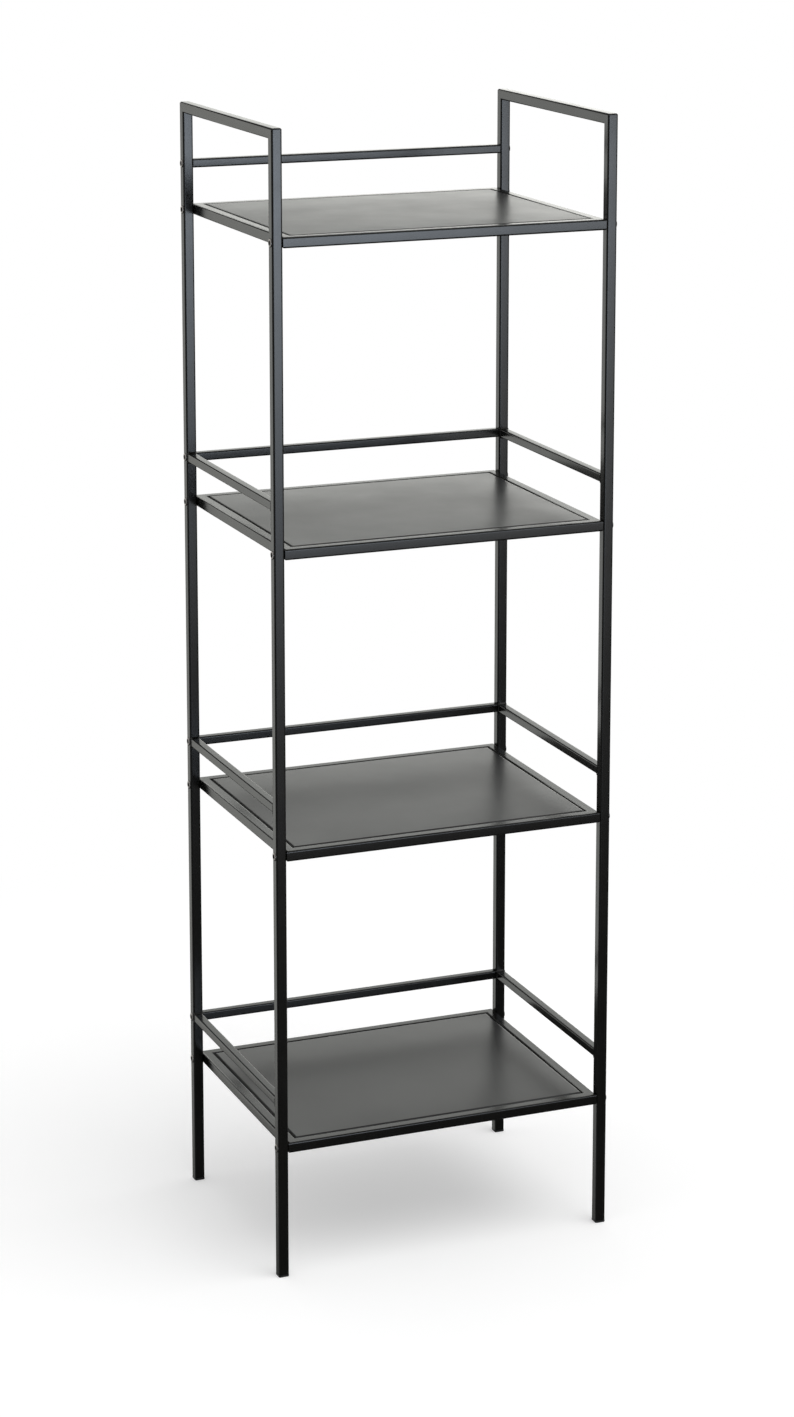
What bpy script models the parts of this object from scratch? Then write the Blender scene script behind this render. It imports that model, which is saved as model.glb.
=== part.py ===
"""Metal shelving unit: two welded tube side frames, four framed sheet shelves,
guard rails at the sides and the rear, socket screws and foot caps.

Metres, +Z up. The unit stands on the floor at z = 0 and its front faces -Y.
"""
import math

import bmesh
import bpy
from mathutils import Matrix

# Overall sizes
UNIT_WIDTH = 0.400  # over the outer faces of the posts
UNIT_DEPTH = 0.300  # over the front and rear faces of the posts
UNIT_HEIGHT = 1.280  # floor to the top of the side frames
BOTTOM_CLEARANCE = 0.145  # floor to the underside of the lowest shelf
TOP_CLEARANCE = 0.115  # surface of the top shelf to the top of the side frames
LEVELS = ("bottom", "lower", "upper", "top")

# Square tube of the posts, top rails and shelf frames
TUBE = 0.012
TUBE_WALL = 0.0010
# Square tube of the guard rails
GUARD_TUBE = 0.010
GUARD_WALL = 0.0010
GUARD_CLEARANCE = 0.041  # surface of a shelf to the underside of its guard rails
INNER_CORNER = 0.0006  # radius inside a tube's corner, so the outside is this and the wall
CORNER_STEPS = 3

# Folded sheet panel of a shelf
SHEET = 0.0008
BEND_RADIUS = 0.0014  # outside radius of the folds
PANEL_GAP = 0.0005  # all round, to the inner faces of the shelf frame
FLANGE_SETBACK = 0.0015  # a flange ends this far above the underside of the frame
CORNER_RELIEF = 0.0024  # square notch where two folds would meet

# Socket screw with a low, flat head
SCREW_RADIUS = 0.0024
SCREW_LENGTH = 0.0200
SCREW_TIP = 0.0006
HEAD_RADIUS = 0.0048
HEAD_HEIGHT = 0.0006
HEAD_RIM = 0.0002
HEAD_FLAT_RADIUS = 0.0038
SOCKET_ACROSS_FLATS = 0.0030
SOCKET_DEPTH = 0.0018
SCREW_SIDES = 12
DOME_STEPS = 2
SCREW_TURN = math.radians(23.0)  # each next screw comes to rest this much further round

# Threaded seats for the screws
THREAD_GAP = 0.0003  # between a screw and the thread that it turns in
POST_HOLE_RADIUS = 0.00275
HOLE_SIDES = 12
NUT_WALL = 0.0010  # round the thread of a nut in a shelf frame
NUT_LENGTH = 0.0080
INSERT_LENGTH = 0.0100
INSERT_SETBACK = 0.0005  # from the end of the guard rail to its threaded insert
INSERT_CHAMFER = 0.0008

# Foot caps
FOOT_PAD = 0.0025  # thickness of the part that shows
FOOT_CHAMFER = 0.0004
FOOT_STEM_LENGTH = 0.0120
FOOT_FIN_DEPTH = 0.0007
FOOT_FINS = 3
FOOT_POCKET = 0.0052  # side of the square hollow in the stem
FOOT_POCKET_DEPTH = 0.0100

# Pieces that touch are drawn this far apart
SEAT_GAP = 0.0003
# Cutters reach this far past what they cut
OVERREACH = 0.002
MERGE = 0.00001
SMOOTH_ANGLE = math.radians(50.0)  # faces that meet more sharply than this keep their edge

# Sizes that follow from those above
TUBE_CORNER = TUBE_WALL + INNER_CORNER
BETWEEN_POSTS = UNIT_WIDTH - 2 * TUBE
SPAN = BETWEEN_POSTS - 2 * SEAT_GAP
POST_X = (UNIT_WIDTH - TUBE) / 2
POST_Y = (UNIT_DEPTH - TUBE) / 2
POST_FOOT = FOOT_PAD + SEAT_GAP
RAIL_Z = UNIT_HEIGHT - TUBE / 2
BAYS = len(LEVELS) - 1
BAY_HEIGHT = (UNIT_HEIGHT - BOTTOM_CLEARANCE - TOP_CLEARANCE - len(LEVELS) * TUBE) / BAYS
SHELF_Z = {
    level: BOTTOM_CLEARANCE + TUBE / 2 + number * (BAY_HEIGHT + TUBE)
    for number, level in enumerate(LEVELS)
}
GUARD_RISE = (TUBE + GUARD_TUBE) / 2 + GUARD_CLEARANCE
THREAD_RADIUS = SCREW_RADIUS + THREAD_GAP
SIDES = (("left", -1), ("right", 1))
ENDS = (("front", -1), ("rear", 1))

for old in list(bpy.data.objects):
    bpy.data.objects.remove(old, do_unlink=True)

PARTS = bpy.data.collections.new("metal_shelving_unit")
CUTTERS = bpy.data.collections.new("cutters")
bpy.context.scene.collection.children.link(PARTS)
bpy.context.scene.collection.children.link(CUTTERS)


def finish(name, color, roughness, metallic):
    """A plain surface finish."""
    material = bpy.data.materials.new(name)
    material.use_nodes = True
    shader = material.node_tree.nodes["Principled BSDF"]
    shader.inputs["Base Color"].default_value = (*color, 1.0)
    shader.inputs["Roughness"].default_value = roughness
    shader.inputs["Metallic"].default_value = metallic
    return material


FRAME_COAT = finish("black_frame_coat", (0.022, 0.023, 0.024), 0.34, 0.0)
SHEET_COAT = finish("black_sheet_coat", (0.024, 0.025, 0.026), 0.36, 0.0)
SCREW_BLACK = finish("black_screw_steel", (0.030, 0.030, 0.032), 0.38, 0.6)
ZINC = finish("zinc_plated_steel", (0.55, 0.56, 0.57), 0.35, 1.0)
CAP_PLASTIC = finish("black_cap_plastic", (0.012, 0.012, 0.013), 0.55, 0.0)


def mesh_from(bm, name):
    """Turns a bmesh into a mesh and frees it."""
    mesh = bpy.data.meshes.new(name)
    bm.to_mesh(mesh)
    bm.free()
    return mesh


def add_piece(name, mesh, material, parent, location=(0, 0, 0), rotation=(0, 0, 0)):
    """One sub-part, placed in its parent's frame."""
    piece = bpy.data.objects.new(name, mesh)
    PARTS.objects.link(piece)
    piece.parent = parent
    piece.location = location
    piece.rotation_euler = rotation
    if not mesh.materials:
        mesh.materials.append(material)
    return piece


def add_tool(name, mesh, piece):
    """A guide solid that its piece carries and that is no sub-part."""
    tool = bpy.data.objects.new(name, mesh)
    CUTTERS.objects.link(tool)
    tool.parent = piece
    tool.hide_render = True
    tool.display_type = "WIRE"
    return tool


def apply_tool(piece, tool, operation="DIFFERENCE"):
    """Cuts the tool out of the piece, or joins it on."""
    step = piece.modifiers.new(tool.name, "BOOLEAN")
    step.operation = operation
    step.solver = "EXACT"
    step.object = tool


def group(name, parent=None, location=(0, 0, 0)):
    """An empty that carries the pieces of one assembly."""
    empty = bpy.data.objects.new(name, None)
    PARTS.objects.link(empty)
    empty.empty_display_size = 0.05
    empty.parent = parent
    empty.location = location
    return empty


def box_mesh(name, size):
    """A box centred on its origin."""
    bm = bmesh.new()
    bmesh.ops.create_cube(bm, size=1.0, matrix=Matrix.Diagonal((*size, 1.0)))
    return mesh_from(bm, name)


def drill_mesh(name, radius, length, places):
    """Cylinders along X through the given places, as one tool."""
    bm = bmesh.new()
    for place in places:
        bmesh.ops.create_cone(
            bm,
            cap_ends=True,
            segments=HOLE_SIDES,
            radius1=radius,
            radius2=radius,
            depth=length,
            matrix=Matrix.Translation(place) @ Matrix.Rotation(math.pi / 2, 4, "Y"),
        )
    return mesh_from(bm, name)


def square_tube(name, side, wall, length, parent, location, rotation=(0, 0, 0)):
    """A round-cornered square tube along its own Z axis, open at both ends."""
    bm = bmesh.new()
    bmesh.ops.create_cube(bm, size=1.0, matrix=Matrix.Diagonal((side, side, length, 1.0)))
    bm.normal_update()
    end_faces = [face for face in bm.faces if abs(face.normal.z) > 0.5]
    bmesh.ops.delete(bm, geom=end_faces, context="FACES_ONLY")
    tube = add_piece(name, mesh_from(bm, name), FRAME_COAT, parent, location, rotation)
    corners = tube.modifiers.new("corners", "BEVEL")
    corners.width = wall + INNER_CORNER
    corners.segments = CORNER_STEPS
    corners.limit_method = "ANGLE"
    skin = tube.modifiers.new("wall", "SOLIDIFY")
    skin.thickness = wall
    skin.offset = -1.0
    skin.use_even_offset = True
    return tube


def cut_mitre(tube, corner, lean):
    """Cuts one end of a side frame's tube at 45 degrees.

    corner is where the two tubes' axes meet, along the tube's own Z, and lean is +1 or -1,
    the side along its own Y that becomes the shorter one. The cut stops half a seat gap
    short of the corner's diagonal plane.
    """
    size = 4 * TUBE
    end = math.copysign(1, corner)
    reach = (size - SEAT_GAP) / 2 * math.sqrt(0.5)
    tool = add_tool(f"{tube.name}_mitre", box_mesh("mitre", (size, size, size)), tube)
    tool.location = (0, lean * reach, corner + end * reach)
    tool.rotation_euler = (math.pi / 4, 0, 0)
    apply_tool(tube, tool)


def turned(name, profile, steps, spin=0.0):
    """Turns a profile of (radius, height) points about Z. Four steps give a square plug."""
    bm = bmesh.new()
    points = [bm.verts.new((radius, 0, height)) for radius, height in profile]
    for upper, lower in zip(points, points[1:]):
        bm.edges.new((upper, lower))
    master = bpy.data.objects.new(name, mesh_from(bm, name))
    CUTTERS.objects.link(master)
    master.rotation_euler = (0, 0, spin)
    screw = master.modifiers.new("turn", "SCREW")
    screw.steps = steps
    screw.render_steps = steps
    screw.use_merge_vertices = True
    screw.merge_threshold = MERGE
    return master


def settled(master):
    """The finished mesh of a master shape, in world axes; the master and its tools go."""
    view = bpy.context.evaluated_depsgraph_get()
    mesh = bpy.data.meshes.new_from_object(master.evaluated_get(view))
    mesh.transform(master.matrix_world)
    mesh.name = master.name
    mesh.shade_smooth()
    mesh.set_sharp_from_angle(angle=SMOOTH_ANGLE)
    for tool in list(master.children):
        bpy.data.objects.remove(tool, do_unlink=True)
    bpy.data.objects.remove(master, do_unlink=True)
    return mesh


def screw_mesh():
    """Socket screw with a low head: its axis is Z, its head stands up from z = 0."""
    dome = []
    for step in range(DOME_STEPS + 1):
        turn = math.pi / 2 * step / DOME_STEPS
        radius = HEAD_FLAT_RADIUS + (HEAD_RADIUS - HEAD_FLAT_RADIUS) * math.sin(turn)
        height = HEAD_RIM + (HEAD_HEIGHT - HEAD_RIM) * math.cos(turn)
        dome.append((radius, height))
    profile = [(0, HEAD_HEIGHT)] + dome + [
        (HEAD_RADIUS, 0),
        (SCREW_RADIUS, 0),
        (SCREW_RADIUS, SCREW_TIP - SCREW_LENGTH),
        (SCREW_RADIUS - SCREW_TIP, -SCREW_LENGTH),
        (0, -SCREW_LENGTH),
    ]
    master = turned("socket_screw", profile, SCREW_SIDES)
    bm = bmesh.new()
    across_corners = SOCKET_ACROSS_FLATS / math.cos(math.pi / 6)
    bmesh.ops.create_cone(
        bm,
        cap_ends=True,
        segments=6,
        radius1=across_corners / 2,
        radius2=across_corners / 2,
        depth=2 * SOCKET_DEPTH,
        matrix=Matrix.Translation((0, 0, HEAD_HEIGHT)),
    )
    apply_tool(master, add_tool("hex_socket", mesh_from(bm, "hex_socket"), master))
    return settled(master)


def foot_mesh():
    """Foot cap: a pad of the tube's outline at z = 0 and up, and a finned stem above it."""
    bm = bmesh.new()
    bmesh.ops.create_cube(bm, size=1.0, matrix=Matrix.Diagonal((TUBE, TUBE, FOOT_PAD, 1.0)))
    uprights = [e for e in bm.edges if abs(e.verts[0].co.z - e.verts[1].co.z) > FOOT_PAD / 2]
    bmesh.ops.bevel(
        bm, geom=uprights, offset=TUBE_CORNER, segments=CORNER_STEPS, profile=0.5, affect="EDGES"
    )
    rim = [e for e in bm.edges if all(v.co.z < -FOOT_PAD / 4 for v in e.verts)]
    bmesh.ops.bevel(bm, geom=rim, offset=FOOT_CHAMFER, segments=1, affect="EDGES")
    master = bpy.data.objects.new("foot_cap", mesh_from(bm, "foot_cap"))
    CUTTERS.objects.link(master)
    master.location = (0, 0, FOOT_PAD / 2)

    fin_half = TUBE / 2 - TUBE_WALL - SEAT_GAP
    core_half = fin_half - FOOT_FIN_DEPTH
    top = FOOT_PAD / 2 + FOOT_STEM_LENGTH
    pitch = FOOT_STEM_LENGTH / (FOOT_FINS + 1)
    outline = [(0, top), (core_half, top)]
    for fin in range(FOOT_FINS):
        edge = top - pitch * (fin + 0.5)
        outline += [(core_half, edge), (fin_half, edge - pitch / 2), (core_half, edge - pitch / 2)]
    outline += [(core_half, 0), (0, 0)]
    corner = math.sqrt(2.0)
    stem = settled(turned("stem", [(half * corner, z) for half, z in outline], 4, math.pi / 4))
    apply_tool(master, add_tool("foot_stem", stem, master), "UNION")
    pocket = box_mesh("foot_pocket", (FOOT_POCKET, FOOT_POCKET, 2 * FOOT_POCKET_DEPTH))
    pocket_tool = add_tool("foot_pocket", pocket, master)
    pocket_tool.location = (0, 0, top)
    apply_tool(master, pocket_tool)
    return settled(master)


def insert_mesh():
    """Square threaded insert for the end of a guard rail, its axis along X from x = 0."""
    half = (GUARD_TUBE / 2 - GUARD_WALL - SEAT_GAP) * math.sqrt(2.0)
    lead = half - INSERT_CHAMFER
    profile = [(0, INSERT_LENGTH), (lead, INSERT_LENGTH), (half, INSERT_LENGTH - INSERT_CHAMFER)]
    profile += [(half, 0), (0, 0)]
    plug = settled(turned("rail_insert", profile, 4, math.pi / 4))
    plug.transform(Matrix.Rotation(math.pi / 2, 4, "Y"))
    master = bpy.data.objects.new("rail_insert", plug)
    CUTTERS.objects.link(master)
    reach = INSERT_LENGTH + 2 * OVERREACH
    bore = drill_mesh("insert_bore", THREAD_RADIUS, reach, [(INSERT_LENGTH / 2, 0, 0)])
    apply_tool(master, add_tool("insert_bore", bore, master))
    return settled(master)


def ring_mesh(name, width, depth, height, rail, corner=0.0):
    """A rectangular frame with mitred corners, and round edges where a corner radius is given."""
    bm = bmesh.new()
    bmesh.ops.create_cube(bm, size=1.0, matrix=Matrix.Diagonal((width, depth, height, 1.0)))
    bm.normal_update()
    flats = [face for face in bm.faces if abs(face.normal.z) > 0.5]
    bmesh.ops.inset_individual(bm, faces=flats, thickness=rail, use_even_offset=True)
    mouths = [edge for face in flats for edge in face.edges]
    bmesh.ops.delete(bm, geom=flats, context="FACES_ONLY")
    bmesh.ops.bridge_loops(bm, edges=mouths)
    bmesh.ops.recalc_face_normals(bm, faces=bm.faces)
    if corner:
        round_edges = []
        for edge in bm.edges:
            upright = abs(edge.verts[0].co.z - edge.verts[1].co.z) > height / 2
            inner = abs(edge.verts[0].co.x) < (width - rail) / 2
            if edge.calc_face_angle(0.0) > math.radians(60.0) and not (upright and inner):
                round_edges.append(edge)
        bmesh.ops.bevel(
            bm, geom=round_edges, offset=corner, segments=CORNER_STEPS, profile=0.5, affect="EDGES"
        )
    return mesh_from(bm, name)


def shelf_frame(level, parent):
    """The welded tube frame of a shelf, with a nut inside each corner's outer wall."""
    name = f"{level}_shelf_frame"
    tubes = ring_mesh(name, SPAN, UNIT_DEPTH, TUBE, TUBE, TUBE_CORNER)
    frame = add_piece(name, tubes, FRAME_COAT, parent)
    inner = TUBE - 2 * TUBE_WALL
    hollow = ring_mesh("hollow", SPAN - 2 * TUBE_WALL, UNIT_DEPTH - 2 * TUBE_WALL, inner, inner)
    apply_tool(frame, add_tool(f"{name}_hollow", hollow, frame))

    nut_reach = NUT_LENGTH + TUBE_WALL / 2
    nut_x = SPAN / 2 - TUBE_WALL / 2 - nut_reach / 2
    nuts = [(side * nut_x, end * POST_Y, 0) for _, side in SIDES for _, end in ENDS]
    nut_mesh = drill_mesh("nuts", THREAD_RADIUS + NUT_WALL, nut_reach, nuts)
    apply_tool(frame, add_tool(f"{name}_nuts", nut_mesh, frame), "UNION")

    bore_reach = nut_reach + TUBE_WALL + 2 * OVERREACH
    bore_mesh = drill_mesh("bores", THREAD_RADIUS, bore_reach, nuts)
    apply_tool(frame, add_tool(f"{name}_bores", bore_mesh, frame))
    return frame


def shelf_panel(level, parent):
    """The folded sheet of a shelf: flanges turned down on four sides, notched corners."""
    name = f"{level}_shelf_panel"
    half_width = SPAN / 2 - TUBE - PANEL_GAP
    half_depth = UNIT_DEPTH / 2 - TUBE - PANEL_GAP
    bm = bmesh.new()
    bmesh.ops.create_grid(bm, x_segments=3, y_segments=3, size=1.0)
    for vert in bm.verts:
        for axis, half in ((0, half_width), (1, half_depth)):
            inset = 0.0 if abs(vert.co[axis]) > 0.5 else CORNER_RELIEF
            vert.co[axis] = math.copysign(half - inset, vert.co[axis])
    notches = []
    for face in bm.faces:
        centre = face.calc_center_median()
        at_side = abs(centre.x) > half_width - CORNER_RELIEF
        if at_side and abs(centre.y) > half_depth - CORNER_RELIEF:
            notches.append(face)
    bmesh.ops.delete(bm, geom=notches, context="FACES")
    folds = []
    for edge in bm.edges:
        middle = (edge.verts[0].co + edge.verts[1].co) / 2
        if abs(middle.x) > half_width - MERGE or abs(middle.y) > half_depth - MERGE:
            folds.append(edge)
    flange = TUBE - FLANGE_SETBACK
    for edge in folds:
        made = bmesh.ops.extrude_edge_only(bm, edges=[edge])["geom"]
        new_verts = [item for item in made if isinstance(item, bmesh.types.BMVert)]
        bmesh.ops.translate(bm, verts=new_verts, vec=(0, 0, -flange))
    panel = add_piece(name, mesh_from(bm, name), SHEET_COAT, parent, (0, 0, TUBE / 2))
    bend = panel.modifiers.new("folds", "BEVEL")
    bend.width = BEND_RADIUS
    bend.segments = CORNER_STEPS
    bend.limit_method = "ANGLE"
    thick = panel.modifiers.new("sheet", "SOLIDIFY")
    thick.thickness = SHEET
    thick.offset = -1.0
    thick.use_even_offset = True
    return panel


def post(side, end, lean, parent):
    """A corner post: mitred at the top, drilled across for the screws of every level."""
    length = UNIT_HEIGHT - POST_FOOT
    middle = POST_FOOT + length / 2
    place = (0, lean * POST_Y, middle)
    tube = square_tube(f"{side}_{end}_post", TUBE, TUBE_WALL, length, parent, place)
    cut_mitre(tube, RAIL_Z - middle, -lean)
    heights = list(SHELF_Z.values())
    if end == "rear":
        heights += [z + GUARD_RISE for z in SHELF_Z.values()]
    places = [(0, 0, z - middle) for z in heights]
    holes = drill_mesh("screw_holes", POST_HOLE_RADIUS, TUBE + 2 * OVERREACH, places)
    apply_tool(tube, add_tool(f"{tube.name}_screw_holes", holes, tube))


def side_frame(side, sign, parent):
    """One ladder-like side: two posts, the top rail and the side guard rails."""
    frame = group(f"{side}_side_frame", parent, (sign * POST_X, 0, 0))
    for end, lean in ENDS:
        post(side, end, lean, frame)
    along_y = (math.pi / 2, 0, 0)
    place = (0, 0, RAIL_Z)
    rail = square_tube(f"{side}_top_rail", TUBE, TUBE_WALL, UNIT_DEPTH, frame, place, along_y)
    for corner in (POST_Y, -POST_Y):
        cut_mitre(rail, corner, -1)
    guard_length = UNIT_DEPTH - 2 * TUBE - 2 * SEAT_GAP
    for level in LEVELS[:-1]:
        place = (0, 0, SHELF_Z[level] + GUARD_RISE)
        name = f"{level}_{side}_guard_rail"
        square_tube(name, GUARD_TUBE, GUARD_WALL, guard_length, frame, place, along_y)
    for end, lean in ENDS:
        add_piece(f"{side}_{end}_foot_cap", FOOT_CAP, CAP_PLASTIC, frame, (0, lean * POST_Y, 0))


def add_screw(name, sign, place, parent, number):
    """A screw with its head on a post's outer face, driven towards the middle of the unit."""
    x = sign * (UNIT_WIDTH / 2 + SEAT_GAP)
    screw = add_piece(name, SOCKET_SCREW, SCREW_BLACK, parent, (x, *place))
    screw.rotation_mode = "ZYX"
    screw.rotation_euler = (0, sign * math.pi / 2, number * SCREW_TURN)


def shelf_level(number, level, parent):
    """A shelf with its rear guard rail and all the screws of its level."""
    shelf = group(f"{level}_shelf", parent, (0, 0, SHELF_Z[level]))
    shelf_frame(level, shelf)
    shelf_panel(level, shelf)
    square_tube(
        f"{level}_rear_guard_rail",
        GUARD_TUBE,
        GUARD_WALL,
        SPAN,
        shelf,
        (0, POST_Y, GUARD_RISE),
        (0, math.pi / 2, 0),
    )
    turn = number * len(LEVELS)
    for side, sign in SIDES:
        seat = add_piece(f"{level}_rear_rail_{side}_insert", RAIL_INSERT, ZINC, shelf)
        seat.location = (sign * (SPAN / 2 - INSERT_SETBACK), POST_Y, GUARD_RISE)
        seat.rotation_euler = (0, 0, math.pi if sign > 0 else 0)
        for end, lean in ENDS:
            turn += 1
            add_screw(f"{level}_shelf_{side}_{end}_screw", sign, (lean * POST_Y, 0), shelf, turn)
        turn += 1
        add_screw(f"{level}_rear_rail_{side}_screw", sign, (POST_Y, GUARD_RISE), shelf, turn)


SOCKET_SCREW = screw_mesh()
FOOT_CAP = foot_mesh()
RAIL_INSERT = insert_mesh()
unit = group("shelving_unit")
for side_name, side_sign in SIDES:
    side_frame(side_name, side_sign, unit)
for level_number, level_name in enumerate(LEVELS):
    shelf_level(level_number, level_name, unit)
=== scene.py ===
"""Looks of the metal shelving unit: coated tube and sheet, welds, screws, caps, studio and camera.

Metres, +Z up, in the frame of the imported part: the unit stands on z = 0 and its front faces -Y.
"""
import math

import bmesh
import bpy
from mathutils import Euler, Matrix, Vector, noise


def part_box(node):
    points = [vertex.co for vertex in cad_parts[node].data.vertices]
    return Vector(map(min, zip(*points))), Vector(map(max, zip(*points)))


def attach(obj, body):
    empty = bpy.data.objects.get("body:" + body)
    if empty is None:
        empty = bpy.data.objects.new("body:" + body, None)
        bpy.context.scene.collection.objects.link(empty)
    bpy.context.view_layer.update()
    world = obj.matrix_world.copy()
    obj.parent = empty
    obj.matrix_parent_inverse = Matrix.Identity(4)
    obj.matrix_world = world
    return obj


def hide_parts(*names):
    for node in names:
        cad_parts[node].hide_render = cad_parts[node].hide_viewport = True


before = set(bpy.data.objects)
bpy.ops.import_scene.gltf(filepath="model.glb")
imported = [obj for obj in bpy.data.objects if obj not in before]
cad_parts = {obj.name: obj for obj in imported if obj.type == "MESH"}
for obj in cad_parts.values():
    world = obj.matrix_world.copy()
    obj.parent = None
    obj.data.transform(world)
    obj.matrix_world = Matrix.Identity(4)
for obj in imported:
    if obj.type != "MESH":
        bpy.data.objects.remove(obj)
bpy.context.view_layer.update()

LEVELS = ("bottom", "lower", "upper", "top")
GUARDED_LEVELS = LEVELS[:-1]  # those with guard rails at their sides
SIDES = ("left", "right")

# Square tube
TUBE_WALL = 0.0010
TUBE_CORNER = 0.0021
GUARD_CORNER = 0.0018
GUARD_REACH = 0.0005  # how far a side guard rail goes on under its welds
CORNER_STEPS = 5
TOP_CORNER = 0.0018  # the outer edge of a side frame's mitre, ground round
TOP_CORNER_STEPS = 3
SHELF_CORNER = 0.0005  # and of a shelf frame's mitre
SHELF_CORNER_STEPS = 2

# Folded sheet
SHEET = 0.0008
FOLD_RADIUS = 0.0027
FOLD_STEPS = 6
FOLD_ZONE = FOLD_RADIUS * 1.2  # from the sheet's edge to the first cell of its flat
SHEET_CELLS = 26  # along each side of the flat
SHEET_CROWN = 0.0014  # how far the middle of the flat stands over its folds
SHEET_WAVE = 0.00032  # height of the flat's slow waves
SHEET_WAVES_PER_METRE = 6.5
SHEET_SEED_STEP = 4.7  # from one level to the next

# Fillet welds between the guard rails and the posts
BEAD_ALONG = 0.0017  # leg along the rail
BEAD_UP = 0.0016  # leg on the post over and under the rail
BEAD_SIDE = 0.0009  # leg on the post beside the rail, where the post is only a little wider
BEAD_SHOULDER = 0.62  # where its face turns, as a share of a leg
BEAD_BULGE = 0.18  # how far the shoulders stand out of a flat fillet
BEAD_ROOT = 0.0005  # depth of the bead's hidden root in the tubes
BEAD_RIPPLE = 0.10
BEAD_RIPPLE_LENGTH = 0.0013
BEAD_BLOBS_PER_METRE = 900
BEAD_SEED_STEP = 7.3  # from one bead to the next
BEAD_POINTS = 120

# Tack welds that hold the folded sheet in its frame, seen from below
TACK_LENGTH = 0.009
TACK_RADIUS = 0.0013
TACK_FLATNESS = 0.8
TACK_RIPPLE = 0.12
TACK_RIPPLE_STEP = 2.4  # radians
TACK_END = 0.03  # the blunt ends, as a share of the length
TACK_SHIFT = 0.006  # how far a tack can lie off its even place
TACK_STEPS = 14
TACK_SIDES = 10
TACKS_LONG_SIDE = 3
TACKS_SHORT_SIDE = 2

# Socket screw with a low, flat head
SCREW_SIDES = 48
SCREW_TURN = math.radians(23.0)  # from one screw to the next
HEAD_RIM = 0.0002
HEAD_FLAT_RADIUS = 0.0033
HEAD_DOME_STEPS = 5
SHANK_RADIUS = 0.0024
CHAMFER = 0.3  # of the shank's tip and under the head, as a share of the shank's radius and of the rim
SOCKET_ACROSS_FLATS = 0.0042
SOCKET_DEPTH = 0.0024
SOCKET_LEAD = 0.0006  # height of its lead-in, and of the drill's cone in its floor
SOCKET_DRILL = 0.35  # radius of that cone, as a share of the width across flats
SOCKET_DRILL_TIP = 0.04

SHARP_ANGLE = math.radians(38.0)  # faces that meet at more than this keep their edge
FOLD_ANGLE = math.radians(45.0)  # an edge of the sheet that turns by more is a fold
MITRE_ANGLE = math.radians(60.0)  # an edge that turns by more, at a post's top, is its mitre

# Grain of the finishes, by blotches in a metre and height in metres
PEEL_PER_METRE = 420.0
PEEL_HEIGHT = 0.0000040
COAT_GRAIN_PER_METRE = 2600.0
COAT_GRAIN_HEIGHT = 0.0000005
BLOTCH_PER_METRE = 900.0
BLOTCH_HEIGHT = 0.0000030
LATHE_PER_METRE = 1100.0
LATHE_HEIGHT = 0.0000020
SPANGLE_PER_METRE = 1400.0
SPANGLE_HEIGHT = 0.000004
CAP_GRAIN_PER_METRE = 2400.0
CAP_GRAIN_HEIGHT = 0.000010
CAP_SCUFF_PER_METRE = 260.0


def grey(level):
    """A colour without a hue."""
    return (level, level, level, 1.0)


BLACK = grey(0.0)
WHITE = grey(1.0)


class Wire:
    """A socket's value in a node tree. Arithmetic on it adds Math nodes."""

    def __init__(self, bench, socket):
        self.bench = bench
        self.socket = socket

    def math(self, operation, *terms):
        return self.bench.node("ShaderNodeMath", {"operation": operation}, dict(enumerate(terms)))

    def sibling(self, out):
        """Another output of the same node."""
        return Wire(self.bench, self.socket.node.outputs[out])

    def __add__(self, other):
        return self.math("ADD", self, other)

    def __sub__(self, other):
        return self.math("SUBTRACT", self, other)

    def __rsub__(self, other):
        return self.math("SUBTRACT", other, self)

    def __mul__(self, other):
        return self.math("MULTIPLY", self, other)

    __radd__ = __add__
    __rmul__ = __mul__


class Bench:
    """A node tree that is put together node by node."""

    def __init__(self, tree):
        self.tree = tree

    def node(self, kind, settings=None, values=None, out=0):
        """Adds a node: its settings first, then the values or wires of its sockets."""
        made = self.tree.nodes.new(kind)
        for name, value in (settings or {}).items():
            setattr(made, name, value)
        for name, value in (values or {}).items():
            self.feed(made.inputs[name], value)
        return Wire(self, made.outputs[out])

    def feed(self, socket, value):
        """Sets a socket, or links a wire to it."""
        if isinstance(value, Wire):
            self.tree.links.new(value.socket, socket)
        else:
            socket.default_value = value

    def tint(self, share, first, second):
        """A colour between two others."""
        return self.node("ShaderNodeMix", {"data_type": "RGBA"}, {0: share, 6: first, 7: second}, out=2)

    def eased(self, value, low, high):
        """A soft step from 0 at low to 1 at high. low can be the larger of the two."""
        settings = {"interpolation_type": "SMOOTHSTEP"}
        return self.node("ShaderNodeMapRange", settings, {"Value": value, "From Min": low, "From Max": high})

    def cloud(self, place, per_metre, detail=2.0, roughness=0.5):
        """Soft noise round 0.5, with about so many blotches in a metre."""
        values = {"Vector": place, "Scale": per_metre, "Detail": detail, "Roughness": roughness}
        return self.node("ShaderNodeTexNoise", None, values)

    def relief(self, height):
        """A normal from a height in metres."""
        return self.node("ShaderNodeBump", None, {"Height": height, "Distance": 1.0, "Strength": 1.0})

    def seen_directly(self):
        """1 for camera and transmission rays, and 0 for the rest."""
        camera = self.node("ShaderNodeLightPath", out="Is Camera Ray")
        return camera.math("MAXIMUM", camera, camera.sibling("Is Transmission Ray"))


class Finish(Bench):
    """A material round one Principled shader."""

    def __init__(self, name, constants):
        self.material = bpy.data.materials.new(name)
        self.material.use_nodes = True
        super().__init__(self.material.node_tree)
        self.shader = self.tree.nodes["Principled BSDF"]
        for socket, value in constants.items():
            self.shader.inputs[socket].default_value = value
        self.place = self.node("ShaderNodeTexCoord", out="Object")

    def wear(self, **wires):
        """Feeds the shader's sockets that change over the surface."""
        for name, value in wires.items():
            self.feed(self.shader.inputs[name.replace("_", " ")], value)
        return self.material


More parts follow.
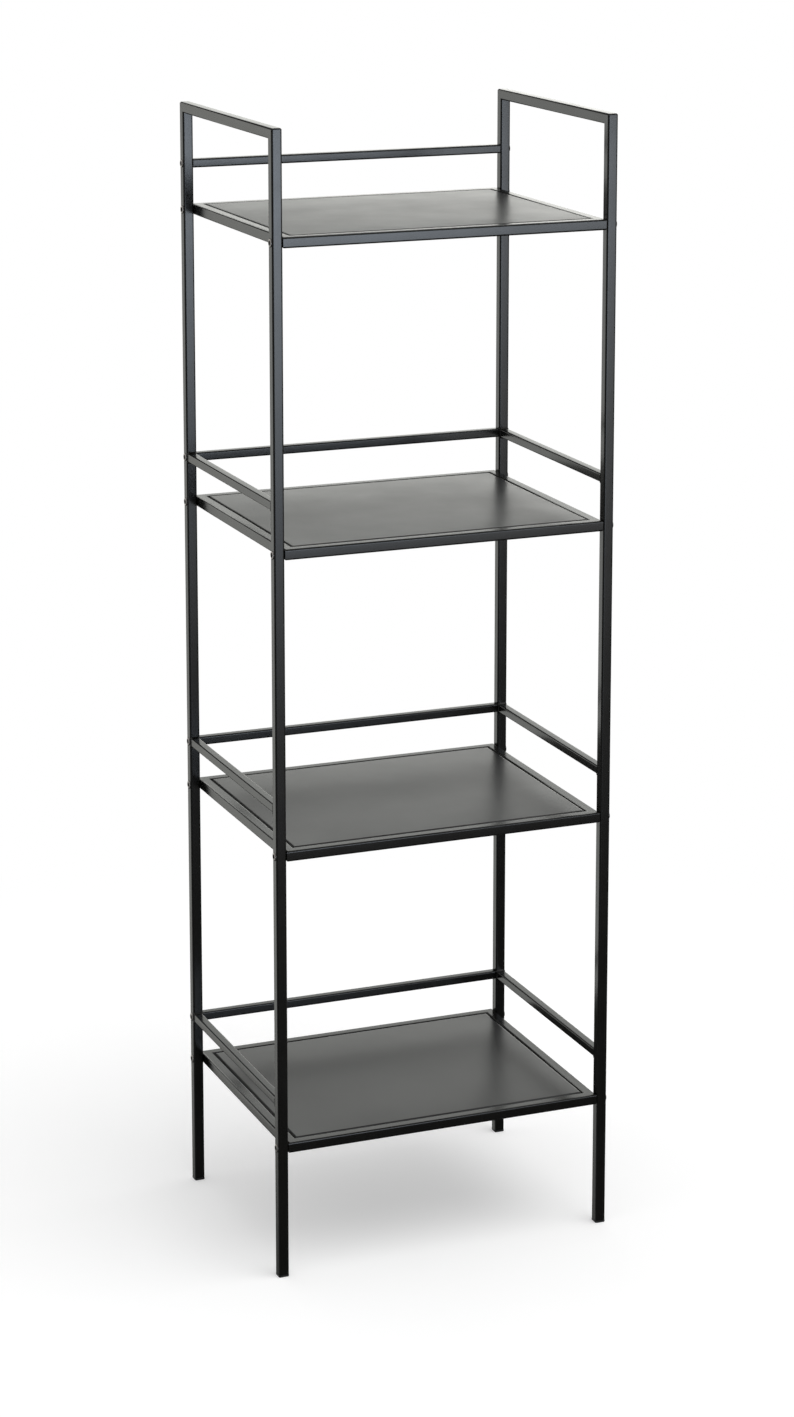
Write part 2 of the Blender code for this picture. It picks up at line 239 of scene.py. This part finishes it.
def powder_coat(name, dark, light, roughness, clouds_per_metre):
    """Satin black powder coat: orange peel, fine grain and slow clouds in the film."""
    coat = Finish(name, {"IOR": 1.5})
    film = coat.cloud(coat.place, clouds_per_metre, detail=3.0, roughness=0.6)
    peel = coat.cloud(coat.place, PEEL_PER_METRE, detail=1.5)
    grain = coat.cloud(coat.place, COAT_GRAIN_PER_METRE, detail=1.0)
    rough = roughness + 0.10 * (film - 0.5) + 0.05 * (grain - 0.5)
    height = PEEL_HEIGHT * peel + COAT_GRAIN_HEIGHT * grain
    shade = coat.tint(film * 0.75 + grain * 0.25, dark, light)
    return coat.wear(Base_Color=shade, Roughness=rough, Normal=coat.relief(height))


def dark_plate(name):
    """Dark nickel-plated screw steel with turning marks and rubbed high spots, and painted shade in the
    socket.
    """
    steel = Finish(name, {"IOR": 1.5})
    # The socket's inner faces are painted near-black, dull and not metallic: painted shade in the recess.
    painted_socket_shade = steel.node("ShaderNodeAttribute", {"attribute_name": "socket"}, out="Fac")
    blotch = steel.cloud(steel.place, BLOTCH_PER_METRE, detail=3.0, roughness=0.6)
    lathe = steel.node(
        "ShaderNodeTexWave",
        {"wave_type": "RINGS", "rings_direction": "X"},
        {"Vector": steel.place, "Scale": LATHE_PER_METRE, "Distortion": 0.4, "Detail": 1.0},
    )
    shade = steel.tint(blotch, (0.270, 0.252, 0.240, 1.0), (0.430, 0.408, 0.392, 1.0))
    # painted shade: near-black inside the socket
    shade = steel.tint(painted_socket_shade, shade, grey(0.004))
    height = LATHE_HEIGHT * lathe + BLOTCH_HEIGHT * blotch
    rough = 0.24 + 0.16 * blotch + 0.40 * painted_socket_shade
    return steel.wear(Base_Color=shade, Metallic=1 - painted_socket_shade, Roughness=rough, Normal=steel.relief(height))


def zinc_plate(name):
    """Bright zinc plating with a fine spangle."""
    zinc = Finish(name, {"Metallic": 1.0})
    spangle = zinc.node("ShaderNodeTexVoronoi", None, {"Vector": zinc.place, "Scale": SPANGLE_PER_METRE})
    shade = zinc.tint(spangle, (0.50, 0.51, 0.53, 1.0), (0.66, 0.66, 0.65, 1.0))
    rough = 0.28 + 0.15 * spangle
    return zinc.wear(Base_Color=shade, Roughness=rough, Normal=zinc.relief(SPANGLE_HEIGHT * spangle))


def cap_plastic(name):
    """Moulded black polyethylene with a spark-eroded grain."""
    plastic = Finish(name, {"IOR": 1.5, "Specular IOR Level": 0.4})
    grain = plastic.cloud(plastic.place, CAP_GRAIN_PER_METRE, detail=2.0)
    scuff = plastic.cloud(plastic.place, CAP_SCUFF_PER_METRE, detail=3.0)
    shade = plastic.tint(scuff, grey(0.008), grey(0.020))
    rough = 0.42 + 0.18 * scuff
    return plastic.wear(Base_Color=shade, Roughness=rough, Normal=plastic.relief(CAP_GRAIN_HEIGHT * grain))


FRAME_COAT = powder_coat(
    "satin_black_frame_coat",
    dark=(0.0034, 0.0033, 0.0028, 1.0),
    light=(0.0066, 0.0064, 0.0054, 1.0),
    roughness=0.21,
    clouds_per_metre=28.0,
)
# The sheet's coat is set several times lighter than the frame's, though the unit has one coat throughout.
SHEET_COAT = powder_coat(
    "satin_black_sheet_coat",
    dark=(0.0120, 0.0121, 0.0121, 1.0),
    light=(0.0210, 0.0210, 0.0208, 1.0),
    roughness=0.31,
    clouds_per_metre=17.0,
)
SCREW_STEEL = dark_plate("dark_nickel_screw_plate")
ZINC = zinc_plate("zinc_plate")
CAP_BLACK = cap_plastic("black_cap_plastic")


def added(name, data):
    """A new object in the scene."""
    made = bpy.data.objects.new(name, data)
    bpy.context.scene.collection.objects.link(made)
    return made


def show(name, mesh, material, slot, *nodes):
    """Puts a piece in place of the CAD nodes that it stands for."""
    piece = added(name, mesh)
    mesh.materials.append(material)
    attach(piece, "root")
    if nodes:
        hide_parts(*nodes)
    return piece


def even_normals(piece):
    """Keeps the flats flat beside rounded corners."""
    piece.modifiers.new("even_normals", "WEIGHTED_NORMAL").keep_sharp = True


def hollow(piece, wall):
    """Gives a skin its wall, inwards."""
    skin = piece.modifiers.new("wall", "SOLIDIFY")
    skin.thickness = wall
    skin.offset = -1.0
    skin.use_even_offset = True


def mesh_from(bm, name):
    """A mesh with its faces pointing out, smooth but for the edges where two meet sharply."""
    bmesh.ops.recalc_face_normals(bm, faces=bm.faces)
    mesh = bpy.data.meshes.new(name)
    bm.to_mesh(mesh)
    bm.free()
    mesh.shade_smooth()
    mesh.set_sharp_from_angle(angle=SHARP_ANGLE)
    return mesh


def square_outline(side, corner, steps=CORNER_STEPS):
    """Points round a square with round corners."""
    points = []
    for quarter in range(4):
        middle = Vector((1, 0)) if quarter in (0, 3) else Vector((-1, 0))
        middle.y = 1 if quarter in (0, 1) else -1
        middle *= side / 2 - corner
        for step in range(steps + 1):
            turn = math.pi / 2 * (quarter + step / steps)
            points.append(middle + corner * Vector((math.cos(turn), math.sin(turn))))
    return points


def join_rings(bm, rings, closed=False):
    """Joins rings of equally many points with quads."""
    rows = [[bm.verts.new(point) for point in ring] for ring in rings]
    nexts = rows[1:] + rows[:1] if closed else rows[1:]
    for row, following in zip(rows, nexts):
        for number in range(len(row)):
            after = (number + 1) % len(row)
            bm.faces.new((row[number], row[after], following[after], following[number]))
    return rows


def round_off(bm, edges, radius, steps):
    """Rounds edges of a mesh."""
    bmesh.ops.bevel(bm, geom=edges, offset=radius, segments=steps, profile=0.5, affect="EDGES")


def side_frame(side):
    """The two posts and the top rail of a side, welded and ground to one skin."""
    front_low, front_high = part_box(f"{side}_front_post")
    rear_low, rear_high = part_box(f"{side}_rear_post")
    rail_low, rail_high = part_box(f"{side}_top_rail")
    x = (front_low.x + front_high.x) / 2
    front = (front_low.y + front_high.y) / 2
    rear = (rear_low.y + rear_high.y) / 2
    top = (rail_low.z + rail_high.z) / 2
    outline = square_outline(front_high.x - front_low.x, TUBE_CORNER)
    bm = bmesh.new()
    rings = [
        [(x + a, front + b, front_low.z) for a, b in outline],
        [(x + a, front + b, top - b) for a, b in outline],
        [(x + a, rear - b, top - b) for a, b in outline],
        [(x + a, rear - b, rear_low.z) for a, b in outline],
    ]
    join_rings(bm, rings)
    bm.normal_update()
    mitres = [
        edge for edge in bm.edges
        if edge.verts[0].co.z > top and edge.verts[1].co.z > top and edge.is_manifold
        and abs(edge.verts[0].co.y - edge.verts[1].co.y) < TUBE_CORNER
        and edge.calc_face_angle() > MITRE_ANGLE
    ]
    round_off(bm, mitres, TOP_CORNER, TOP_CORNER_STEPS)
    nodes = (f"{side}_front_post", f"{side}_rear_post", f"{side}_top_rail")
    name = f"{side}_side_frame"
    piece = show(f"{name}_tube", mesh_from(bm, name), FRAME_COAT, "frame_coat", *nodes)
    hollow(piece, TUBE_WALL)
    even_normals(piece)


def guard_rail(node, axis, reach):
    """A guard rail in place of its node, along axis 0 or 1. reach is added at both ends."""
    low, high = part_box(node)
    middle = (low + high) / 2
    across = high.z - low.z
    bm = bmesh.new()
    rings = []
    for end in (low[axis] - reach, high[axis] + reach):
        ring = []
        for a, b in square_outline(across, GUARD_CORNER):
            point = Vector((middle.x + a, middle.y + a, middle.z + b))
            point[axis] = end
            ring.append(point)
        rings.append(ring)
    join_rings(bm, rings)
    piece = show(f"{node}_tube", mesh_from(bm, node), FRAME_COAT, "frame_coat", node)
    hollow(piece, TUBE_WALL)
    even_normals(piece)


def weld_bead(node, toward, seed):
    """A fillet weld round one end of a side guard rail. toward is the way along Y to its post."""
    low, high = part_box(node)
    middle = (low + high) / 2
    end = "front" if toward < 0 else "rear"
    post_low, post_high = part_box(f"{node.split('_')[1]}_{end}_post")
    post_face = post_low.y if toward > 0 else post_high.y
    side = high.z - low.z
    loop = square_outline(side, GUARD_CORNER, BEAD_POINTS // 4 - 1)
    walked = 0.0
    sections = []
    for place, (a, b) in enumerate(loop):
        before = loop[place - 1]
        walked += (Vector((a, b)) - before).length if place else 0.0
        core = [math.copysign(max(abs(part) - side / 2 + GUARD_CORNER, 0), part) for part in (a, b)]
        out = Vector(core).normalized()
        ripple = 1 + BEAD_RIPPLE * math.sin(2 * math.pi * walked / BEAD_RIPPLE_LENGTH + seed)
        spot = Vector((walked * BEAD_BLOBS_PER_METRE, seed * BEAD_SEED_STEP, 0))
        ripple += BEAD_RIPPLE * noise.noise(spot)
        leg_out = (BEAD_SIDE + (BEAD_UP - BEAD_SIDE) * abs(out.y)) * ripple
        leg_along = BEAD_ALONG * ripple
        section = [
            (-BEAD_ROOT, leg_along),
            (0.0, leg_along),
            (leg_out * (0.5 + BEAD_BULGE) * BEAD_SHOULDER, leg_along * BEAD_SHOULDER),
            (leg_out * BEAD_SHOULDER, leg_along * (0.5 + BEAD_BULGE) * BEAD_SHOULDER),
            (leg_out, 0.0),
            (leg_out, -BEAD_ROOT),
            (-BEAD_ROOT, -BEAD_ROOT),
        ]
        ring = []
        for outward, along in section:
            x = middle.x + a + out.x * outward
            z = middle.z + b + out.y * outward
            ring.append(Vector((x, post_face - toward * along, z)))
        sections.append(ring)
    bm = bmesh.new()
    join_rings(bm, sections, closed=True)
    show(f"{node}_{end}_weld", mesh_from(bm, "weld"), FRAME_COAT, "frame_coat")


def rise(edge):
    """How much higher one end of an edge is."""
    return abs(edge.verts[0].co.z - edge.verts[1].co.z)


def shelf_frame(level):
    """The welded tube frame of a shelf as one skin, with its corners ground round."""
    node = f"{level}_shelf_frame"
    low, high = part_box(node)
    size = high - low
    tube = size.z
    bm = bmesh.new()
    place = Matrix.Translation((low + high) / 2) @ Matrix.Diagonal((*size, 1.0))
    bmesh.ops.create_cube(bm, size=1.0, matrix=place)
    bm.normal_update()
    flats = [face for face in bm.faces if abs(face.normal.z) > 0.5]
    bmesh.ops.inset_individual(bm, faces=flats, thickness=tube, use_even_offset=True)
    mouths = [edge for face in flats for edge in face.edges]
    bmesh.ops.delete(bm, geom=flats, context="FACES_ONLY")
    bmesh.ops.bridge_loops(bm, edges=mouths)
    bmesh.ops.recalc_face_normals(bm, faces=bm.faces)
    level_edges = [
        edge for edge in bm.edges if rise(edge) < tube / 2 and edge.calc_face_angle(0.0) > SHARP_ANGLE
    ]
    round_off(bm, level_edges, TUBE_CORNER, CORNER_STEPS)
    mitres = [
        edge for edge in bm.edges
        if rise(edge) > tube / 2 and abs(edge.verts[0].co.x) > size.x / 2 - tube / 2
    ]
    round_off(bm, mitres, SHELF_CORNER, SHELF_CORNER_STEPS)
    even_normals(show(f"{node}_tube", mesh_from(bm, node), FRAME_COAT, "frame_coat", node))


def cuts(low, high):
    """Places of the sheet's grid lines along one side: the edge, the end of the fold, then even cells."""
    inner_low = low + FOLD_ZONE
    inner_high = high - FOLD_ZONE
    cell = (inner_high - inner_low) / SHEET_CELLS
    return [low] + [inner_low + cell * number for number in range(SHEET_CELLS + 1)] + [high]


def sheet_height(x, y, half, seed):
    """How far the flat of a sheet stands over its folds: a crown that falls off near them, and waves."""
    crown = SHEET_CROWN * (1 - (x / half.x) ** 4) * (1 - (y / half.y) ** 4)
    fade = math.cos(math.pi / 2 * x / half.x) * math.cos(math.pi / 2 * y / half.y)
    swell = noise.noise(Vector((x * SHEET_WAVES_PER_METRE, y * SHEET_WAVES_PER_METRE, seed)))
    return crown + SHEET_WAVE * swell * math.sqrt(max(fade, 0.0))


def shelf_panel(level, seed):
    """The folded sheet of a shelf, its corners welded and ground round. Its flat isn't quite true."""
    node = f"{level}_shelf_panel"
    low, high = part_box(node)
    half = (high - low) / 2
    bm = bmesh.new()
    columns = cuts(low.x, high.x)
    rows = cuts(low.y, high.y)
    grid = [[bm.verts.new((x, y, high.z)) for y in rows] for x in columns]
    cells = len(columns) - 1
    for i in range(cells):
        for j in range(cells):
            bm.faces.new((grid[i][j], grid[i + 1][j], grid[i + 1][j + 1], grid[i][j + 1]))
    folds = [edge for edge in bm.edges if edge.is_boundary]
    made = bmesh.ops.extrude_edge_only(bm, edges=folds)["geom"]
    hems = [item for item in made if isinstance(item, bmesh.types.BMVert)]
    bmesh.ops.translate(bm, verts=hems, vec=(0, 0, low.z - high.z))
    for vert in bm.verts:
        if abs(vert.co.x) < half.x - FOLD_RADIUS and abs(vert.co.y) < half.y - FOLD_RADIUS:
            vert.co.z += sheet_height(vert.co.x, vert.co.y, half, seed)
    piece = show(f"{node}_sheet", mesh_from(bm, node), SHEET_COAT, "sheet_coat", node)
    bend = piece.modifiers.new("folds", "BEVEL")
    bend.width = FOLD_RADIUS
    bend.segments = FOLD_STEPS
    bend.limit_method = "ANGLE"
    bend.angle_limit = FOLD_ANGLE
    hollow(piece, SHEET)
    even_normals(piece)


def tack_weld(bm, place, turn, shift, depth, seed):
    """Adds one short weld run along X, turned about Z and put in its place."""
    rings = []
    for step in range(TACK_STEPS + 1):
        share = step / TACK_STEPS
        run = (share - 0.5) * TACK_LENGTH
        swell = math.sin(math.pi * min(max(share, TACK_END), 1 - TACK_END)) ** 0.5
        radius = TACK_RADIUS * swell * (1 + TACK_RIPPLE * math.sin(step * TACK_RIPPLE_STEP + seed))
        ring = []
        for side in range(TACK_SIDES):
            angle = 2 * math.pi * side / TACK_SIDES
            height = min(depth, radius) * TACK_FLATNESS * math.sin(angle)
            local = Vector((run + shift, radius * math.cos(angle), height))
            ring.append(Matrix.Rotation(turn, 3, "Z") @ local + Vector(place))
        rings.append(ring)
    rows = join_rings(bm, rings)
    bm.faces.new(rows[0])
    bm.faces.new(rows[-1])


def tack_welds(level, seed):
    """Short weld runs under a shelf, between the sheet's flanges and the frame."""
    sheet_low, sheet_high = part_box(f"{level}_shelf_panel")
    frame_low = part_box(f"{level}_shelf_frame")[0]
    z = sheet_low.z
    places = []
    for number in range(TACKS_LONG_SIDE):
        x = sheet_low.x + (sheet_high.x - sheet_low.x) * (number + 0.5) / TACKS_LONG_SIDE
        places += [((x, sheet_low.y, z), 0.0), ((x, sheet_high.y, z), 0.0)]
    for number in range(TACKS_SHORT_SIDE):
        y = sheet_low.y + (sheet_high.y - sheet_low.y) * (number + 0.5) / TACKS_SHORT_SIDE
        places += [((sheet_low.x, y, z), math.pi / 2), ((sheet_high.x, y, z), math.pi / 2)]
    bm = bmesh.new()
    for number, (place, turn) in enumerate(places):
        shift = TACK_SHIFT * noise.noise(Vector((seed * 3.1, number * 1.7, 0.4)))
        tack_weld(bm, place, turn, shift, z - frame_low.z, seed)
    show(f"{level}_shelf_tack_welds", mesh_from(bm, "tacks"), FRAME_COAT, "frame_coat")


def circle(radius, height):
    """A ring of the screw's points."""
    turns = [2 * math.pi * number / SCREW_SIDES for number in range(SCREW_SIDES)]
    return [Vector((radius * math.cos(turn), radius * math.sin(turn), height)) for turn in turns]


def hexagon(across_flats, height):
    """A ring of as many points as the screw's circles have, on a hexagon."""
    ring = []
    for number in range(SCREW_SIDES):
        turn = 2 * math.pi * number / SCREW_SIDES
        within = turn % (math.pi / 3) - math.pi / 6
        radius = across_flats / 2 / math.cos(within)
        ring.append(Vector((radius * math.cos(turn), radius * math.sin(turn), height)))
    return ring


def socket_screw_mesh(head_radius, head_height, shank_length):
    """Low-head screw along Z: its head stands up from z = 0."""
    rings = [
        circle(SHANK_RADIUS * (1 - CHAMFER), -shank_length),
        circle(SHANK_RADIUS, -shank_length + SHANK_RADIUS * CHAMFER),
        circle(SHANK_RADIUS, 0.0),
        circle(head_radius - HEAD_RIM * CHAMFER, 0.0),
        circle(head_radius, HEAD_RIM * CHAMFER),
        circle(head_radius, HEAD_RIM),
    ]
    for step in range(1, HEAD_DOME_STEPS + 1):
        turn = math.pi / 2 * step / HEAD_DOME_STEPS
        radius = HEAD_FLAT_RADIUS + (head_radius - HEAD_FLAT_RADIUS) * math.cos(turn)
        rings.append(circle(radius, HEAD_RIM + (head_height - HEAD_RIM) * math.sin(turn)))
    mouth = SOCKET_ACROSS_FLATS / 2 / math.cos(math.pi / 6) + SOCKET_LEAD / 2
    bottom = head_height - SOCKET_DEPTH
    socket = [
        circle(mouth, head_height),
        hexagon(SOCKET_ACROSS_FLATS, head_height - SOCKET_LEAD),
        hexagon(SOCKET_ACROSS_FLATS, bottom),
        circle(SOCKET_ACROSS_FLATS * SOCKET_DRILL, bottom),
        circle(SOCKET_ACROSS_FLATS * SOCKET_DRILL_TIP, bottom - SOCKET_LEAD),
    ]
    bm = bmesh.new()
    # Marks the faces deep in the socket, which the screw finish paints near-black as painted shade.
    painted_socket_shade = bm.faces.layers.float.new("socket")
    rows = join_rings(bm, rings + socket)
    bm.faces.new(rows[0])
    bm.faces.new(rows[-1])
    deep = {vert for row in rows[-len(socket):] for vert in row}
    for face in bm.faces:
        face[painted_socket_shade] = float(deep.issuperset(face.verts))
    return mesh_from(bm, "socket_screw")


def screws():
    """All the screws, each where its node is, turned as it came to rest."""
    nodes = sorted(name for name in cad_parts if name.endswith("_screw"))
    low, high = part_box(nodes[0])
    seat = max(abs(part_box("left_front_post")[0].x), abs(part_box("right_front_post")[1].x))
    reach = max(abs(low.x), abs(high.x))
    inner = min(abs(low.x), abs(high.x))
    mesh = socket_screw_mesh((high.y - low.y) / 2, reach - seat, seat - inner)
    for number, node in enumerate(nodes):
        low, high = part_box(node)
        middle = (low + high) / 2
        sign = math.copysign(1.0, middle.x)
        spin = Matrix.Rotation(number * SCREW_TURN, 4, "X")
        aim = Matrix.Rotation(sign * math.pi / 2, 4, "Y")
        turned = mesh.copy()
        turned.transform(Matrix.Translation((sign * seat, middle.y, middle.z)) @ spin @ aim)
        show(f"{node}_low_head", turned, SCREW_STEEL, "screw_steel", node)


def carried_over():
    """The nodes that keep their CAD shape get their finish."""
    for name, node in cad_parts.items():
        for ending, material in (("_insert", ZINC), ("_foot_cap", CAP_BLACK)):
            if name.endswith(ending):
                node.material_slots[0].material = material


for side_name in SIDES:
    side_frame(side_name)
    for level_number, level_name in enumerate(GUARDED_LEVELS):
        guard = f"{level_name}_{side_name}_guard_rail"
        guard_rail(guard, 1, GUARD_REACH)
        weld_bead(guard, -1, level_number)
        weld_bead(guard, 1, level_number + len(GUARDED_LEVELS))
for level_number, level_name in enumerate(LEVELS):
    guard_rail(f"{level_name}_rear_guard_rail", 0, 0.0)
    shelf_frame(level_name)
    shelf_panel(level_name, level_number * SHEET_SEED_STEP)
    tack_welds(level_name, level_number)
screws()
carried_over()

# Studio: a pale floor in a white surround
FLOOR_SIZE = 9.0
FLOOR_DARK = grey(0.74)
FLOOR_LIGHT = grey(0.76)
FLOOR_LIFT = grey(0.36)  # added for what the camera sees, up to white
FLOOR_NEAR = 0.50  # from the middle, where the floor starts to fade to the white surround
FLOOR_FAR = 1.30
FILL = grey(0.62)  # light of the surround on the object
KEY = 1.15  # the soft overhead light
KEY_ANGLE = math.radians(50.0)
KEY_WAY = (-0.25, 0.35, -1.0)  # the way its light goes

# What the coat mirrors: a white wall behind the unit, dimmer sides and ceiling, black cloth elsewhere
WALL_MIDDLE = (0.96, 0.98, 0.94, 1.0)
WALL_ENDS = (1.22, 1.24, 1.20, 1.0)
WALL_GLOW = (2.50, 2.47, 2.36, 1.0)  # a low band, just over the horizon
WALL_FOOT = (0.60, 0.60, 0.56, 1.0)  # the wall's middle under the horizon
SIDE = grey(0.52)
CEILING = grey(0.9)
CLOTH = grey(0.05)
# and a large softbox in front of it, on the right, dimmer towards its foot and its ends
BOX_COLOUR = (7.05, 7.9, 8.95, 1.0)
BOX_LOW_COLOUR = grey(7.9)  # of its dimmer part, low and to the right
BOX_DARK = grey(0.035)  # where none of its light comes through
BOX_AWAY = 2.5  # in front of the middle of the unit
BOX_LEFT = -1.1
BOX_RIGHT = 2.9
BOX_FOOT = -1.8
BOX_TOP = 1.6
BOX_LEFT_FADE = (BOX_LEFT, -0.7)  # here its left end comes up to a quarter of its light
BOX_RIGHT_FADE = (0.0, 0.55)  # and here the rest follows
BOX_TOP_FADE = (BOX_TOP, 1.25)
BOX_DIM = 0.43  # height at which the softbox's light has fallen to a half, at x = 0
BOX_DIM_RISE = 0.16  # and how much higher that is a metre to the right
BOX_DIM_RANGE = 0.24
BOX_LIFT = 0.25  # how much brighter it is just under its dark gap
BOX_LIFT_FADE = (0.70, 1.00)
BOX_GAP_FOOT = 1.06  # the gap is where two lamps inside it don't meet
BOX_GAP_TOP = 1.34
BOX_GAP_EASE = 0.08

# The photograph's view
CAMERA_PLACE = (-1.440, -3.553, 1.675)
CAMERA_TILT = math.radians(78.91)  # from straight down
CAMERA_TURN = math.radians(-22.09)  # about Z
CAMERA_LENS = 88.61  # millimetres, as is the sensor
CAMERA_SENSOR = 36.0
CAMERA_SHIFT = -0.20
CAMERA_NEAR = 0.05


def mirrored_studio(bench):
    """The light that the coat mirrors, by the way it comes from: x to the right, y behind the unit, z up."""
    x = bench.node("ShaderNodeSeparateXYZ", None, {0: bench.node("ShaderNodeTexCoord", out="Generated")})
    y = x.sibling("Y")
    z = x.sibling("Z")
    steep = z.math("ABSOLUTE", z)
    aside = x.math("ABSOLUTE", x)
    # The wall behind the unit, lighter at its ends
    wall = bench.eased(y, 0.0, 0.3) * bench.eased(aside, 0.74, 0.54)
    white = bench.tint(bench.eased(aside, 0.29, 0.47), WALL_MIDDLE, WALL_ENDS)
    # Its glowing band, strongest on the right
    glow = bench.eased(z, 0.0, 0.06) * bench.eased(z, 0.20, 0.11)
    glow *= 0.35 + 0.65 * bench.eased(x, 0.30, 0.44)
    white = bench.tint(glow, white, WALL_GLOW)
    # The dimmer foot of its middle
    foot = bench.eased(z, 0.02, -0.02) * bench.eased(aside, 0.37, 0.24)
    white = bench.tint(foot, white, WALL_FOOT)
    # Its top and bottom edges
    wall *= bench.eased(z, 0.66, 0.50) * bench.eased(z, -0.43, -0.34)
    # Dark over the band, from the left to the middle: the tubes' dark upper left edges mirror this
    dusk = z - 0.08 * bench.eased(x, -0.28, -0.36)
    wall *= 1 - bench.eased(x, 0.16, 0.04) * bench.eased(dusk, 0.05, 0.18)
    # Dark under the horizon on the right: the dark rear rims of the shelves mirror this
    wall *= 1 - bench.eased(x, 0.10, 0.24) * bench.eased(z, 0.02, -0.06)
    # The sides, narrow under the horizon and wide over it, so that the other views keep some light
    along = y.math("ABSOLUTE", y)
    side = bench.eased(along, 0.22, 0.12)
    wide = bench.eased(along, 0.80, 0.66) * bench.eased(z, 0.08, 0.16)
    side = side.math("MAXIMUM", side, wide)
    side *= bench.eased(steep, 0.75, 0.50)
    ceiling = bench.eased(z, 0.72, 0.86)
    shown = bench.tint(side, CLOTH, SIDE)
    shown = bench.tint(ceiling, shown, CEILING)
    return bench.tint(wall, shown, white)


def softbox():
    """A large soft light in front of the unit, seen only in the coat."""
    bm = bmesh.new()
    bmesh.ops.create_grid(bm, x_segments=4, y_segments=4, size=0.5)
    place = Matrix.Translation(((BOX_LEFT + BOX_RIGHT) / 2, -BOX_AWAY, (BOX_FOOT + BOX_TOP) / 2))
    size = Matrix.Diagonal((BOX_RIGHT - BOX_LEFT, 1.0, BOX_TOP - BOX_FOOT, 1.0))
    bmesh.ops.transform(bm, matrix=place @ size @ Matrix.Rotation(math.pi / 2, 4, "X"), verts=bm.verts)
    mesh = bpy.data.meshes.new("softbox")
    bm.to_mesh(mesh)
    bm.free()
    finish = Finish("softbox_cloth", {"Roughness": 1.0, "Specular IOR Level": 0.0, "Emission Strength": 1.0})
    x = finish.node("ShaderNodeSeparateXYZ", None, {0: finish.place})
    z = x.sibling("Z")
    step = (z - x * BOX_DIM_RISE - BOX_DIM) * (1 / BOX_DIM_RANGE)
    lit = (0.5 + 0.5 * step.math("TANH", 0.5 * step)) * (1 - x * (1 / BOX_RIGHT))
    lit *= 0.25 * finish.eased(x, *BOX_LEFT_FADE) + 0.75 * finish.eased(x, *BOX_RIGHT_FADE)
    lit *= finish.eased(z, *BOX_TOP_FADE)
    lit *= 1 + BOX_LIFT * finish.eased(z, *BOX_LIFT_FADE)
    gap = finish.eased(z, BOX_GAP_FOOT, BOX_GAP_FOOT + BOX_GAP_EASE)
    gap *= finish.eased(z, BOX_GAP_TOP, BOX_GAP_TOP - BOX_GAP_EASE)
    lit *= 1 - gap
    # Bluer towards its upper left
    cool = finish.eased(z - 0.5 * x, -0.30, 0.05) * (1.2 - 0.4 * x)
    cast = finish.tint(cool, BOX_LOW_COLOUR, BOX_COLOUR)
    finish.wear(Base_Color=BLACK, Emission_Color=finish.tint(lit, BOX_DARK, cast))
    mesh.materials.append(finish.material)
    card = added("softbox", mesh)
    card.visible_camera = False
    card.visible_diffuse = False
    card.visible_transmission = False
    card.visible_shadow = False


def surround():
    """White where it is seen, the studio where it is mirrored, and a plain fill elsewhere."""
    world = bpy.data.worlds.new("studio")
    bpy.context.scene.world = world
    world.use_nodes = True
    bench = Bench(world.node_tree)
    sky = world.node_tree.nodes["Background"]
    lit = bench.tint(bench.node("ShaderNodeLightPath", out="Is Glossy Ray"), FILL, mirrored_studio(bench))
    bench.feed(sky.inputs["Color"], bench.tint(bench.seen_directly(), lit, WHITE))


def floor():
    """A wide pale floor that keeps the unit's shadow and fades to the surround."""
    bm = bmesh.new()
    bmesh.ops.create_grid(bm, x_segments=8, y_segments=8, size=FLOOR_SIZE / 2)
    mesh = mesh_from(bm, "floor")
    finish = Finish("pale_floor", {"Roughness": 0.9, "Specular IOR Level": 0.1, "Emission Strength": 1.0})
    tone = finish.cloud(finish.place, 3.0)
    seen = finish.seen_directly()
    finish.wear(
        Base_Color=finish.tint(tone, FLOOR_DARK, FLOOR_LIGHT),
        Emission_Color=finish.tint(seen, BLACK, FLOOR_LIFT),
    )
    white = finish.node("ShaderNodeEmission", None, {"Color": WHITE, "Strength": 1.0})
    away = finish.node("ShaderNodeVectorMath", {"operation": "LENGTH"}, {0: finish.place}, out="Value")
    far = finish.eased(away, FLOOR_NEAR, FLOOR_FAR) * seen
    plain = Wire(finish, finish.shader.outputs[0])
    shown = finish.node("ShaderNodeMixShader", None, {0: far, 1: plain, 2: white})
    finish.feed(finish.tree.nodes["Material Output"].inputs["Surface"], shown)
    mesh.materials.append(finish.material)
    ground = added("floor", mesh)
    ground.visible_glossy = False


def key_light():
    """A soft light from above the front right."""
    lamp = bpy.data.lights.new("key", "SUN")
    lamp.energy = KEY
    lamp.angle = KEY_ANGLE
    box = added("key", lamp)
    box.rotation_euler = Vector(KEY_WAY).to_track_quat("-Z", "Y").to_euler()
    box.visible_glossy = False


def camera():
    """The photograph's view."""
    data = bpy.data.cameras.new("camera")
    data.sensor_width = CAMERA_SENSOR
    data.lens = CAMERA_LENS
    data.shift_y = CAMERA_SHIFT
    data.clip_start = CAMERA_NEAR
    view = added("camera", data)
    view.location = CAMERA_PLACE
    view.rotation_euler = Euler((CAMERA_TILT, 0.0, CAMERA_TURN))
    bpy.context.scene.camera = view


surround()
softbox()
floor()
key_light()
camera()
bpy.context.scene.view_settings.view_transform = "Standard"
